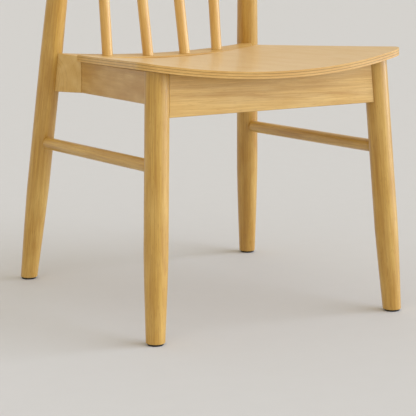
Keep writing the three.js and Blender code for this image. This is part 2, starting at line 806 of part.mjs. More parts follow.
// A threaded insert: a sleeve around the end of the bolt.
function insertShape() {
  const bore = rod(BOLT.radius + GAP, INSERT.length + 2).translate(0, 0, -1);
  const sleeve = rod(INSERT.radius, INSERT.length, MEDIUM_SEGMENTS);
  return geometryOf(solid(sleeve).subtract(solid(bore)));
}

// ---------------------------------------------------------------- the chair

const chair = new THREE.Group();
chair.name = 'dining_chair';
chair.position.y = -FOOTPRINT_CENTRE_Y;

function add(name, geometry, material) {
  const mesh = new THREE.Mesh(geometry, material);
  mesh.name = name;
  chair.add(mesh);
  return mesh;
}

// Adds a piece made about +Z, at a start point and along a direction.
function addAimed(name, geometry, material, { start, direction }) {
  const mesh = add(name, geometry, material);
  mesh.position.copy(start);
  mesh.quaternion.setFromUnitVectors(UP, direction.clone().normalize());
}

for (const [word, side] of Object.entries(sides)) {
  add(`front_leg_${word}`, geometryOf(frontLeg(side)), WOOD.leg());
  add(`rear_post_${word}`, geometryOf(rearPost(side)), WOOD.leg());
  add(`side_rail_${word}`, geometryOf(finishedSideRail(side)), WOOD.rail());
  const bar = stretcher(side);
  addAimed(`side_stretcher_${word}`, bar.geometry, WOOD.turned(), bar);
}
add('front_rail', geometryOf(finishedFrontRail()), WOOD.rail());
add('rear_rail', geometryOf(rearRail()), WOOD.rail());
add('seat_panel', geometryOf(seatPanel()), WOOD.ply());
add('crest_rail', geometryOf(crestRail()), WOOD.rail());
spindlePlaces.forEach((place, i) => {
  add(`spindle_${i + 1}`, geometryOf(spindleBody(place)), WOOD.turned());
});
add('rear_cleat', geometryOf(rearCleat()), WOOD.hidden());
cleatScrews.forEach((screw, i) => {
  addAimed(`cleat_screw_${i + 1}`, screwShape(screw.length), ZINC_STEEL(), screw);
});

for (const [word, side] of Object.entries(sides)) {
  for (const [end, axis] of Object.entries({ front: frontAxis, rear: rearAxis })) {
    const place = { start: axis(side, 0), direction: UP };
    addAimed(`foot_glide_${end}_${word}`, glideShape.clone(), GLIDE_PLASTIC(), place);
  }
  const dowels = {
    front_rail: frontDowels(side),
    side_rail: sideDowels(side),
    rear_rail: rearDowels(side),
  };
  for (const [joint, places] of Object.entries(dowels)) {
    places.forEach((place, i) => {
      addAimed(`${joint}_dowel_${word}_${i + 1}`, dowelShape.clone(), WOOD.dowel(), place);
    });
  }
  postBolts(side).forEach((bolt, i) => {
    addAimed(`post_bolt_${word}_${i + 1}`, boltShape(), BLACK_STEEL(), bolt);
    const sleeve = { start: insertStart(bolt), direction: bolt.direction };
    addAimed(`threaded_insert_${word}_${i + 1}`, insertShape(), ZINC_STEEL(), sleeve);
  });
  for (const end of Object.keys(BLOCKS)) {
    add(`corner_block_${end}_${word}`, geometryOf(cornerBlock(end, side)), WOOD.hidden());
    blockScrews(end, side).forEach((screw, i) => {
      const name = `block_screw_${end}_${word}_${i + 1}`;
      addAimed(name, screwShape(screw.length), ZINC_STEEL(), screw);
    });
  }
}

export default chair;
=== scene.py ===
"""Dining chair in pale, satin-lacquered hardwood: every shown piece, its finish and the studio.

Shapes are worked out in millimetres, measured from the line between the front feet, with +Y to
the back of the chair and +Z up. Each finished mesh is then carried into the part's own frame, in
metres.
"""

import logging
import math
from collections.abc import Callable, Sequence
from dataclasses import dataclass, field
from enum import Enum
from functools import partial

import bmesh
import bpy
from bmesh.types import BMesh
from mathutils import Matrix, Vector


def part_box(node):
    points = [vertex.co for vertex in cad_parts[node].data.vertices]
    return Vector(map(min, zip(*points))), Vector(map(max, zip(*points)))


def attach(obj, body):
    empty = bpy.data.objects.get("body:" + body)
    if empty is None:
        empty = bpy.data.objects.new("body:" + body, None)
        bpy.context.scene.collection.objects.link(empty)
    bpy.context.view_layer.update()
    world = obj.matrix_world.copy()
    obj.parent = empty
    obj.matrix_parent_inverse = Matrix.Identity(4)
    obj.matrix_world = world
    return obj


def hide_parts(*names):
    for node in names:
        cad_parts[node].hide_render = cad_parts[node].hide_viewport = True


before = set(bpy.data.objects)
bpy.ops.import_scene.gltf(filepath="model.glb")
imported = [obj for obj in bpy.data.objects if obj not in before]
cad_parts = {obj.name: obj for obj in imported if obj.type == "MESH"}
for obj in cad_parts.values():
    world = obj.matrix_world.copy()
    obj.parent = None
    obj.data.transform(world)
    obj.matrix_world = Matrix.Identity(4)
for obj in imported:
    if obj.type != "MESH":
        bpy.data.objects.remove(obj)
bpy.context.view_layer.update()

LOG = logging.getLogger("dining_chair")
METRES = 0.001
BODY = "root"
UP = Vector((0, 0, 1))
# Gap between joined pieces, and the distance under which two vertices count as one.
FIT = 0.3
MERGE = 0.01
TURNED_STEPS = 48
ARRIS_STEPS = 3
BOW_STEPS = 36
# Width of the strips that let a slab bend.
STRIP = 12.0

Pair = tuple[float, float]
Outline = list[Pair]
Tree = bpy.types.NodeTree
Socket = bpy.types.NodeSocket


class Side(Enum):
    """The chair's two sides, as the sign of X."""

    LEFT = -1
    RIGHT = 1

    @property
    def word(self) -> str:
        """The side's name as it stands in piece names."""
        return self.name.lower()


class End(Enum):
    """The end of the chair that a leg stands at."""

    FRONT = "front"
    REAR = "rear"


def vector(*values: float) -> Vector:
    """A dataclass field that holds a vector by default."""
    return field(default_factory=lambda: Vector(values))


def front_line() -> float:
    """Y of the line between the front feet in the part's frame, in millimetres."""
    low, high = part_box("foot_glide_front_left")
    return (low.y + high.y) / 2 / METRES


# ---- shapes


def everything(bm: BMesh) -> list:
    """All vertices, edges and faces of a mesh."""
    return [*bm.verts, *bm.edges, *bm.faces]


def spline(t: float, p: float, q: float, r: float, s: float) -> float:
    """A value between q and r, at a share t of the way, on a smooth line from p to s."""
    return q + t * ((r - p) + t * ((2 * p - 5 * q + 4 * r - s) + t * (3 * (q - r) + s - p))) / 2


def smooth_line(points: Sequence[Pair], cuts: int = 5) -> Outline:
    """Runs a smooth line through the points.

    Args:
        points: Points of a profile, in order.
        cuts: Pieces that each stretch is divided into.

    Returns:
        The points of the smooth line, the given ones among them.
    """
    ends = [points[0], *points, points[-1]]
    line = []
    for a, b, c, d in zip(ends, ends[1:], ends[2:], ends[3:]):
        for step in range(cuts):
            line.append(tuple(spline(step / cuts, *values) for values in zip(a, b, c, d)))
    return [*line, points[-1]]


def turned(profile: Sequence[Pair], steps: int = TURNED_STEPS) -> BMesh:
    """Turns a profile about +Z, as a lathe does.

    Args:
        profile: Pairs of radius and height, which start and end on the axis.
        steps: Segments round the axis.

    Returns:
        The closed mesh.
    """
    bm = bmesh.new()
    verts = [bm.verts.new((radius, 0, height)) for radius, height in profile]
    edges = [bm.edges.new(pair) for pair in zip(verts, verts[1:])]
    bmesh.ops.spin(
        bm, geom=verts + edges, axis=UP, cent=(0, 0, 0), angle=math.tau, steps=steps, use_merge=True
    )
    bmesh.ops.remove_doubles(bm, verts=bm.verts, dist=1e-3)
    bmesh.ops.recalc_face_normals(bm, faces=bm.faces)
    return bm


def rod(radius: float, length: float, steps: int = TURNED_STEPS) -> BMesh:
    """A plain round rod that stands on the origin."""
    return turned([(0, 0), (radius, 0), (radius, length), (0, length)], steps)


def tidy_up(bm: BMesh, near: float = MERGE) -> None:
    """Merges vertices that lie closer than a distance, and the slivers between them."""
    bmesh.ops.remove_doubles(bm, verts=bm.verts, dist=near)
    bmesh.ops.dissolve_degenerate(bm, dist=near / 10, edges=bm.edges)


def aim(bm: BMesh, start: Vector, direction: Vector) -> BMesh:
    """Carries a shape made about +Z so that it starts at a point and runs in a direction."""
    turn = UP.rotation_difference(direction).to_matrix().to_4x4()
    bmesh.ops.transform(bm, matrix=Matrix.Translation(start) @ turn, verts=bm.verts)
    return bm


def divide(bm: BMesh, point: Vector, normal: Vector) -> None:
    """Divides a mesh along a plane, without taking anything off."""
    bmesh.ops.bisect_plane(bm, geom=everything(bm), plane_co=point, plane_no=normal)


def saw_off(bm: BMesh, point: Vector, normal: Vector, arris: float) -> None:
    """Saws off what lies past a plane, closes the cut and softens its arris.

    Args:
        bm: The mesh to saw.
        point: A point of the plane.
        normal: The plane's normal, towards the waste.
        arris: Width of the softened edge.
    """
    cut = bmesh.ops.bisect_plane(
        bm, geom=everything(bm), plane_co=point, plane_no=normal, clear_outer=True, dist=1e-4
    )
    rim = [part for part in cut["geom_cut"] if isinstance(part, bmesh.types.BMEdge)]
    bmesh.ops.contextual_create(bm, geom=rim)
    soften(bm, rim, arris)


def rims(bm: BMesh) -> list:
    """Edges round the top and the bottom of a plain slab that is one unit thick."""
    level = [edge for edge in bm.edges if {vert.co.z for vert in edge.verts} in ({0.0}, {1.0})]
    return [edge for edge in level if abs(edge.calc_face_angle(0)) > 1]


def soften(bm: BMesh, edges: Sequence, width: float) -> None:
    """Rounds edges over a width."""
    bm.normal_update()
    bmesh.ops.bevel(
        bm,
        geom=list(edges),
        offset=width,
        offset_type="OFFSET",
        segments=ARRIS_STEPS,
        profile=0.5,
        affect="EDGES",
        clamp_overlap=True,
        material=-1,
    )


def board(
    cells: tuple[int, int, int], place: Callable[[float, float, float], Vector], arris: float
) -> BMesh:
    """Makes a board from a divided cube, with its long arrises rounded.

    Args:
        cells: Divisions along the board, across its thickness and up its height.
        place: Gives a point of the board from three shares, each from -1 to 1.
        arris: Radius of the long arrises.

    Returns:
        The closed mesh.
    """
    bm = bmesh.new()
    bmesh.ops.create_cube(bm, size=2)
    for axis, count in enumerate(cells):
        normal = Vector([float(axis == i) for i in range(3)])
        for i in range(1, count):
            divide(bm, normal * (2 * i / count - 1), normal)
    long_arrises = [
        edge
        for edge in bm.edges
        if all(abs(vert.co[axis]) > 0.999 for vert in edge.verts for axis in (1, 2))
        and abs(edge.verts[0].co.x - edge.verts[1].co.x) > 1e-6
    ]
    for vert in bm.verts:
        vert.co = place(*vert.co)
    bm.normal_update()
    bmesh.ops.recalc_face_normals(bm, faces=bm.faces)
    soften(bm, long_arrises, arris)
    tidy_up(bm)
    return bm


def slab(
    outline: Sequence[Pair],
    place: Callable[[float, float, float], Vector],
    arris: float,
    spacing: float,
    layers: Sequence[float] = (),
) -> BMesh:
    """Makes a slab from its plan outline, bent to a shape.

    Args:
        outline: Plan points in order.
        place: Gives a point of the slab from its plan place and its share of the thickness.
        arris: Radius of the arrises round the top and the bottom, or 0 to leave them sharp.
        spacing: Width of the strips that let the slab bend across X.
        layers: Shares of the thickness at which the sides are divided.

    Returns:
        The closed mesh.
    """
    bm = bmesh.new()
    bm.faces.new([bm.verts.new((x, y, 0)) for x, y in outline])
    reach = max(x for x, _ in outline)
    count = int(reach // spacing)
    for i in range(-count, count + 1):
        divide(bm, Vector((i * spacing, 0, 0)), Vector((1, 0, 0)))
    raised = bmesh.ops.extrude_face_region(bm, geom=bm.faces[:])["geom"]
    top = [part for part in raised if isinstance(part, bmesh.types.BMVert)]
    bmesh.ops.translate(bm, vec=UP, verts=top)
    for share in layers:
        divide(bm, UP * share, UP)
    bmesh.ops.recalc_face_normals(bm, faces=bm.faces)
    if arris:
        edges = rims(bm)
        for vert in bm.verts:
            vert.co = place(*vert.co)
        soften(bm, edges, arris)
        tidy_up(bm)
    return bm


def arc(
    centre: Pair, radius: float, start: float, end: float, steps: int
) -> Outline:
    """Points of an arc in plan, from one angle to another, both ends included."""
    angles = [start + (end - start) * i / steps for i in range(steps + 1)]
    return [(centre[0] + radius * math.cos(a), centre[1] + radius * math.sin(a)) for a in angles]


def bowed(half: float, y: float, bow: float, steps: int) -> Outline:
    """Points from -X to +X of an arc whose middle stands a bow's depth nearer the front."""
    radius = (half * half + bow * bow) / (2 * bow)
    spread = math.asin(half / radius)
    middle = -math.pi / 2
    return arc((0, y - bow + radius), radius, middle - spread, middle + spread, steps)


# ---- finishes


def linear(code: str) -> tuple[float, float, float, float]:
    """An sRGB hex colour as a linear colour with full opacity."""
    shares = [int(code[i : i + 2], 16) / 255 for i in (0, 2, 4)]
    bright = [s / 12.92 if s <= 0.04045 else ((s + 0.055) / 1.055) ** 2.4 for s in shares]
    return (*bright, 1.0)


def add(tree: Tree, kind: str, inputs: dict | None = None, **settings) -> bpy.types.Node:
    """Adds a node to a tree.

    Args:
        tree: The node tree.
        kind: The node's type name.
        inputs: Values or output sockets for its inputs, by name or number.
        **settings: The node's own properties.

    Returns:
        The new node.
    """
    node = tree.nodes.new(kind)
    for name, value in settings.items():
        setattr(node, name, value)
    for name, value in (inputs or {}).items():
        if isinstance(value, Socket):
            tree.links.new(value, node.inputs[name])
        else:
            node.inputs[name].default_value = value
    return node


def calculate(tree: Tree, operation: str, *values: Socket | float) -> Socket:
    """The result of a sum, product or other operation on values."""
    return add(tree, "ShaderNodeMath", dict(enumerate(values)), operation=operation).outputs[0]


def scaled(tree: Tree, place: Socket, factors: tuple[float, float, float]) -> Socket:
    """A vector times a factor on each axis."""
    inputs = {0: place, 1: factors}
    return add(tree, "ShaderNodeVectorMath", inputs, operation="MULTIPLY").outputs[0]


def ramp(tree: Tree, value: Socket, marks: Sequence[Pair]) -> Socket:
    """Turns a value into a grey level.

    Args:
        tree: The node tree.
        value: The value.
        marks: Pairs of value and grey level, in order.

    Returns:
        The grey level.
    """
    node = add(tree, "ShaderNodeValToRGB", {0: value})
    elements = node.color_ramp.elements
    while len(elements) < len(marks):
        elements.new(0.5)
    for element, (place, level) in zip(elements, marks):
        element.position = place
        element.color = (level, level, level, 1)
    return node.outputs[0]


def spread(tree: Tree, value: Socket, low: float, high: float, **limits: float) -> Socket:
    """Maps a value to the span from low to high, with other limits than 0 and 1 if given."""
    inputs = {"Value": value, "To Min": low, "To Max": high}
    inputs.update({f"From {limit}": at for limit, at in limits.items()})
    return add(tree, "ShaderNodeMapRange", inputs).outputs[0]


def mixed(tree: Tree, share: Socket, base: Socket | tuple, over: Socket | tuple) -> Socket:
    """Lays one colour over another by a share."""
    return add(tree, "ShaderNodeMix", {0: share, 6: base, 7: over}, data_type="RGBA").outputs[2]


def bump(tree: Tree, height: Socket, strength: float, depth: float) -> Socket:
    """Normals of a fine relief whose depth is in millimetres."""
    inputs = {"Height": height, "Strength": strength, "Distance": depth * METRES}
    return add(tree, "ShaderNodeBump", inputs).outputs[0]


def new_material(name: str) -> tuple[bpy.types.Material, Tree]:
    """Makes an empty material and gives it with its node tree."""
    material = bpy.data.materials.new(name)
    material.use_nodes = True
    material.node_tree.nodes.clear()
    return material, material.node_tree


def surface(tree: Tree, inputs: dict) -> None:
    """Ends a tree with a surface of the given inputs."""
    shader = add(tree, "ShaderNodeBsdfPrincipled", inputs)
    add(tree, "ShaderNodeOutputMaterial", {"Surface": shader.outputs[0]})


@dataclass(frozen=True)
class Grain:
    """How the wood of a piece lies in the tree it was sawn from.

    The pith runs along the piece at a distance behind its face, so that the growth rings show as
    straight lines where they meet the face steeply and as arches where they meet it flat. No two
    boards have quite the same tone, so each piece can be a share darker than the rest; on the side
    rails, the rear rail and the rear posts that darkening is also painted shade.
    """

    along: Vector
    facing: Vector
    centre: Vector
    pith: float = 45.0
    seed: float = 0.0
    # Share of the deep colour laid over the whole piece: its own tone, and on some pieces painted
    # shade.
    dark: float = 0.0
    side_limit: float = 0.55
    end_limit: float = 0.9
    end_share: float = 0.1

    def mapping(self, tree: Tree) -> Socket:
        """Object coordinates in millimetres, with Z along the grain and the pith at the origin."""
        along = self.along.normalized()
        facing = (self.facing - self.facing.project(along)).normalized()
        turn = Matrix((facing, along.cross(facing), along))
        inputs = {
            "Vector": add(tree, "ShaderNodeTexCoord").outputs["Object"],
            "Location": Vector((self.pith, 0, 0)) - turn @ (self.centre / METRES),
            "Rotation": turn.to_euler("XYZ"),
            "Scale": (1 / METRES,) * 3,
        }
        return add(tree, "ShaderNodeMapping", inputs).outputs[0]

    def side_share(self, tree: Tree) -> Socket:
        """How far a face shows the side of the fibres: 1 along the grain, least on end grain."""
        normal = add(tree, "ShaderNodeTexCoord").outputs["Normal"]
        inputs = {0: normal, 1: self.along.normalized()}
        steep = add(tree, "ShaderNodeVectorMath", inputs, operation="DOT_PRODUCT")
        size = calculate(tree, "ABSOLUTE", steep.outputs["Value"])
        return spread(tree, size, 1, self.end_share, Min=self.side_limit, Max=self.end_limit)


def round_facing(degrees: float) -> Vector:
    """The way that a round piece faces the pith, as an angle in plan."""
    turn = math.radians(degrees)
    return Vector((math.cos(turn), math.sin(turn), 0))


@dataclass(frozen=True)
class Marks:
    """One kind of mark in wood, made from noise that is stretched along the grain.

    A mark has a size in millimetres across the grain and along it. It is absent where the noise
    is at one level and full where it is at another.
    """

    across: float
    along: float
    detail: float
    seed: float
    absent: float = 0.0
    full: float = 1.0

    def noise(self, tree: Tree, place: Socket, seed: float) -> Socket:
        """The noise itself, from a place in the wood and the piece's seed."""
        stretched = scaled(tree, place, (1 / self.across, 1 / self.across, 1 / self.along))
        inputs = {"Vector": stretched, "W": seed + self.seed, "Scale": 1.0, "Detail": self.detail}
        return add(tree, "ShaderNodeTexNoise", inputs, noise_dimensions="4D").outputs[0]

    def share(self, tree: Tree, noise: Socket) -> Socket:
        """How far the mark shows."""
        return ramp(tree, noise, sorted([(self.absent, 0.0), (self.full, 1.0)]))


DRIFT = Marks(across=60, along=330, detail=3, seed=0)
STREAKS = Marks(across=5.5, along=190, detail=2, seed=3, absent=0.38, full=0.66)
FIBRES = Marks(across=1.5, along=70, detail=3, seed=5, absent=0.62, full=0.35)
CLOUDS = Marks(across=24, along=95, detail=2, seed=7, absent=0.4, full=0.7)
PORES = Marks(across=0.9, along=14, detail=1, seed=9, absent=0.6, full=0.72)
# One growth ring: a slow rise to dark late wood and a sharp return.
RING_LINE = ((0.0, 0.0), (0.45, 0.12), (0.86, 1.0), (1.0, 0.0))


@dataclass(frozen=True)
class LacqueredWood:
    """Pale ring-porous hardwood, sanded, under a clear satin lacquer.

    Growth rings give broad soft lines, the fibres fine streaks, and the pores short dark dashes.
    The lacquer film lies on top as a smooth coat, so that the wood shines softly at low angles.
    """

    early: str = "d6af57"
    late: str = "b68530"
    deep: str = "a26f21"
    pale: str = "dfbf70"
    ring: float = 3.4
    ring_wander: float = 34.0
    ring_depth: float = 0.6
    streak_depth: float = 0.4
    cloud_depth: float = 0.6
    fibre_depth: float = 0.5
    pore_depth: float = 0.4
    roughness: float = 0.44
    smoother: float = 0.05
    rougher: float = 0.06
    relief: float = 0.15
    relief_strength: float = 0.25
    ior: float = 1.46
    coat: float = 0.25
    coat_roughness: float = 0.38
    coat_ior: float = 1.5

    def material(self, name: str, grain: Grain) -> bpy.types.Material:
        """Makes the finish for one piece.

        Args:
            name: The material's name.
            grain: How the wood lies in the piece.

        Returns:
            The material.
        """
        material, tree = new_material(name)
        place = grain.mapping(tree)
        side = grain.side_share(tree)
        kinds = (STREAKS, FIBRES, CLOUDS, PORES)
        noises = {kind: kind.noise(tree, place, grain.seed) for kind in kinds}
        shares = {kind: kind.share(tree, noise) for kind, noise in noises.items()}
        for kind in (STREAKS, FIBRES, PORES):
            shares[kind] = calculate(tree, "MULTIPLY", shares[kind], side)
        colour = linear(self.early)
        for code, share, depth in (
            (self.late, self.rings(tree, place, grain.seed), self.ring_depth),
            # the piece's darker share: its tone, and on shaded pieces painted shade
            (self.deep, 1.0, grain.dark),
            (self.deep, shares[STREAKS], self.streak_depth),
            (self.pale, shares[CLOUDS], self.cloud_depth),
            (self.late, shares[FIBRES], self.fibre_depth),
            (self.deep, shares[PORES], self.pore_depth),
        ):
            amount = calculate(tree, "MULTIPLY", share, depth)
            colour = mixed(tree, amount, colour, linear(code))
        fibres = noises[FIBRES]
        low, high = self.roughness - self.smoother, self.roughness + self.rougher
        raised = calculate(tree, "MULTIPLY", fibres, side)
        height = calculate(tree, "SUBTRACT", raised, shares[PORES])
        surface(
            tree,
            {
                "Base Color": colour,
                "Roughness": spread(tree, fibres, low, high),
                "Normal": bump(tree, height, self.relief_strength, self.relief),
                "IOR": self.ior,
                "Coat Weight": self.coat,
                "Coat Roughness": self.coat_roughness,
                "Coat IOR": self.coat_ior,
            },
        )
        return material

    def rings(self, tree: Tree, place: Socket, seed: float) -> Socket:
        """Growth rings about the pith, each as dark as its year was."""
        drift = DRIFT.noise(tree, place, seed)
        flat = scaled(tree, place, (1, 1, 0))
        reach = add(tree, "ShaderNodeVectorMath", {0: flat}, operation="LENGTH").outputs["Value"]
        wander = calculate(tree, "MULTIPLY_ADD", drift, self.ring_wander, reach)
        number = calculate(tree, "DIVIDE", wander, self.ring)
        line = ramp(tree, calculate(tree, "FRACT", number), RING_LINE)
        year = {"W": calculate(tree, "FLOOR", number)}
        strength = add(tree, "ShaderNodeTexWhiteNoise", year, noise_dimensions="1D").outputs[0]
        return calculate(tree, "MULTIPLY", line, strength)


@dataclass(frozen=True)
class PlainFinish:
    """A moulded, plated, painted or laid finish whose grain is a fine, even mottle."""

    colour: str
    shade: str
    roughness: float
    metallic: float = 0.0
    mottle: float = 1.2
    specular: float = 0.5
    unevenness: float = 0.06
    relief: float = 0.05
    relief_strength: float = 0.2

    def material(self, name: str) -> bpy.types.Material:
        """Makes the finish under a name."""
        material, tree = new_material(name)
        place = add(tree, "ShaderNodeTexCoord").outputs["Object"]
        inputs = {"Vector": place, "Scale": 1 / (self.mottle * METRES)}
        noise = add(tree, "ShaderNodeTexNoise", inputs).outputs[0]
        low, high = self.roughness - self.unevenness, self.roughness + self.unevenness
        surface(
            tree,
            {
                "Base Color": mixed(tree, noise, linear(self.colour), linear(self.shade)),
                "Roughness": spread(tree, noise, low, high),
                "Metallic": self.metallic,
                "Specular IOR Level": self.specular,
                "Normal": bump(tree, noise, self.relief_strength, self.relief),
            },
        )
        return material


# Turned legs and posts: close growth rings give long upright streaks.
LEG_WOOD = LacqueredWood(
    early="d3ab51",
    late="ae7d2c",
    deep="9a691d",
    pale="e0be6e",
    ring=4.4,
    ring_depth=0.5,
    streak_depth=0.45,
    pore_depth=0.5,
    coat=0.45,
    coat_roughness=0.28,
)
# Slim turned pieces, from paler stock.
SLIM_WOOD = LacqueredWood(
    early="dbb466",
    late="be8f40",
    deep="aa782e",
    pale="e3c47d",
    ring=3.0,
    ring_depth=0.35,
    coat=0.4,
    coat_roughness=0.28,
)
# Flat-sawn rails: broad rings give wavy lines that run off the edges.
RAIL_WOOD = LacqueredWood(
    early="dab467",
    late="ba8a3e",
    deep="a67430",
    pale="e3c583",
    ring=3.6,
    ring_depth=0.75,
    coat=0.3,
    coat_roughness=0.32,
)
# Rotary-cut face veneer: almost plain, with fine faint streaks under a smoother film.
SEAT_VENEER = LacqueredWood(
    early="dcbf8c",
    late="cfa86c",
    deep="c99c5e",
    pale="e2c79b",
    ring=9.0,
    ring_depth=0.3,
    streak_depth=0.3,
    pore_depth=0.2,
    roughness=0.46,
    coat=0.22,
    coat_roughness=0.2,
)
# Plies whose fibres run along the edge are pale, those cut across are brown and duller.
LONG_PLY = LacqueredWood(early="d3a95f", late="c09148", deep="b5853d", pale="dbb873", ring=1.7)
CROSS_PLY = LacqueredWood(early="a67f3c", late="94702f", deep="87642a", pale="b48b46", ring=1.7)
# Glides moulded in matt black polyamide: nearly black with a soft broad shine.
GLIDE_PLASTIC = PlainFinish("1c1b1a", "232220", 0.55)
# Bright zinc plate on steel: cool grey with a slight mottle.
ZINC_STEEL = PlainFinish("b9bcc0", "9da1a6", 0.34, metallic=1.0)
# Black zinc plate on steel: dark with a dull metal shine.
BLACK_STEEL = PlainFinish("2a2b2d", "3a3b3d", 0.42, metallic=1.0)
# Sawn, unlacquered blocks under the seat: dry, matt and a little fuzzy.
SAWN_WOOD = LacqueredWood(early="d6b684", late="bf9a64", roughness=0.7, coat=0.0, ring=5.0)
# The studio's floor: pale and almost even, without shine.
PALE_FLOOR = PlainFinish("cdcfd2", "d0d2d5", 0.7, mottle=40, specular=0.1)
# Bare beech dowels.
DOWEL_WOOD = LacqueredWood(early="e2cb9f", late="cfae7a", roughness=0.7, coat=0.0, ring=3.0)


# ---- finished pieces


def placed(name: str, data: bpy.types.ID) -> bpy.types.Object:
    """Makes an object of a mesh, light or camera and puts it in the scene."""
    thing = bpy.data.objects.new(name, data)
    bpy.context.scene.collection.objects.link(thing)
    return thing


@dataclass
class Bench:
    """Takes finished meshes, carries them into the part's frame and reports them."""

    origin: float = field(default_factory=front_line)

    def in_frame(self, point: Vector) -> Vector:
        """A point in millimetres from the front feet's line, as metres in the part's frame."""
        return (point + Vector((0, self.origin, 0))) * METRES

    def mesh_object(self, name: str, bm: BMesh) -> bpy.types.Object:
        """Makes an object of a mesh that is still in millimetres."""
        bmesh.ops.translate(bm, vec=(0, self.origin, 0), verts=bm.verts)
        bmesh.ops.scale(bm, vec=(METRES,) * 3, verts=bm.verts)
        mesh = bpy.data.meshes.new(name)
        bm.to_mesh(mesh)
        bm.free()
        return placed(name, mesh)

    def bore(self, piece: bpy.types.Object, cutters: Sequence[BMesh]) -> None:
        """Cuts closed shapes out of a piece.

        Args:
            piece: The piece, already in the part's frame.
            cutters: Closed meshes in millimetres.
        """
        for number, cutter in enumerate(cutters):
            tool = self.mesh_object(f"cutter_{number}", cutter)
            boolean = piece.modifiers.new("bore", "BOOLEAN")
            boolean.operation = "DIFFERENCE"
            boolean.solver = "EXACT"
            boolean.object = tool
            graph = bpy.context.evaluated_depsgraph_get()
            bored = bpy.data.meshes.new_from_object(piece.evaluated_get(graph))
            piece.modifiers.clear()
            piece.data = bored
            bpy.data.objects.remove(tool)

    def smooth(self, piece: bpy.types.Object, sharp: float) -> None:
        """Smooths the shading of a piece except over sharp edges.

        Args:
            piece: The piece.
            sharp: Angle between faces, in degrees, past which an edge stays sharp.
        """
        bm = bmesh.new()
        bm.from_mesh(piece.data)
        tidy_up(bm, MERGE * METRES)
        for face in bm.faces:
            face.smooth = True
        for edge in bm.edges:
            edge.smooth = edge.calc_face_angle(0) < math.radians(sharp)
        bm.to_mesh(piece.data)
        bm.free()
        flatten = piece.modifiers.new("flat faces", "WEIGHTED_NORMAL")
        flatten.keep_sharp = True

    def hand_in(
        self,
        name: str,
        bm: BMesh,
        materials: Sequence[bpy.types.Material],
        slot: str,
        cutters: Sequence[BMesh] = (),
        sharp: float = 38.0,
    ) -> bpy.types.Object:
        """Finishes one piece, which stands for the CAD node of the same name.

        Args:
            name: The CAD node's name.
            bm: The piece's mesh in millimetres.
            materials: Its finishes, in the order of the mesh's material numbers.
            slot: Not used.
            cutters: Closed meshes to cut out of the piece.
            sharp: Angle, in degrees, past which an edge stays sharp.

        Returns:
            The finished piece.
        """
        piece = self.mesh_object(f"{name}_shape", bm)
        self.bore(piece, cutters)
        self.smooth(piece, sharp)
        for material in materials:
            piece.data.materials.append(material)
        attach(piece, BODY)
        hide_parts(name)
        LOG.info("%s: %d faces", piece.name, len(piece.data.polygons))
        return piece

    def wooden(
        self,
        name: str,
        bm: BMesh,
        finish: LacqueredWood,
        grain: Grain,
        slot: str,
        cutters: Sequence[BMesh] = (),
    ) -> None:
        """Finishes one piece of a single wood, whose grain lies as given."""
        self.hand_in(name, bm, [finish.material(f"{name}_wood", grain)], slot, cutters)


# ---- seat surface and legs


@dataclass
class SeatSurface:
    """The seat's form: one arc from side to side, tilted down to the back."""

    height: float = 440.0
    tilt: float = 0.045
    radius: float = 1316.0
    thickness: float = 12.0

    def rise(self, x: float, radius: float) -> float:
        """Height of an arc above its lowest point, at a distance from the middle."""
        return radius - math.sqrt(radius * radius - x * x)

    def place(self, x: float, y: float, share: float) -> Vector:
        """A point of the seat panel, with a share of 1 on its top and 0 on its underside."""
        under = self.radius - math.sqrt((self.radius + self.thickness) ** 2 - x * x)
        level = under + share * (self.rise(x, self.radius) - under)
        spot = Matrix.Rotation(-self.tilt, 3, "X") @ Vector((x, y, level))
        return spot + UP * self.height

    def underside(self, x: float, y: float) -> float:
        """Height of what stops just under the seat panel."""
        drop = math.tan(self.tilt) * y
        rise = self.rise(x, self.radius + self.thickness)
        return self.height + rise - self.thickness - drop - FIT


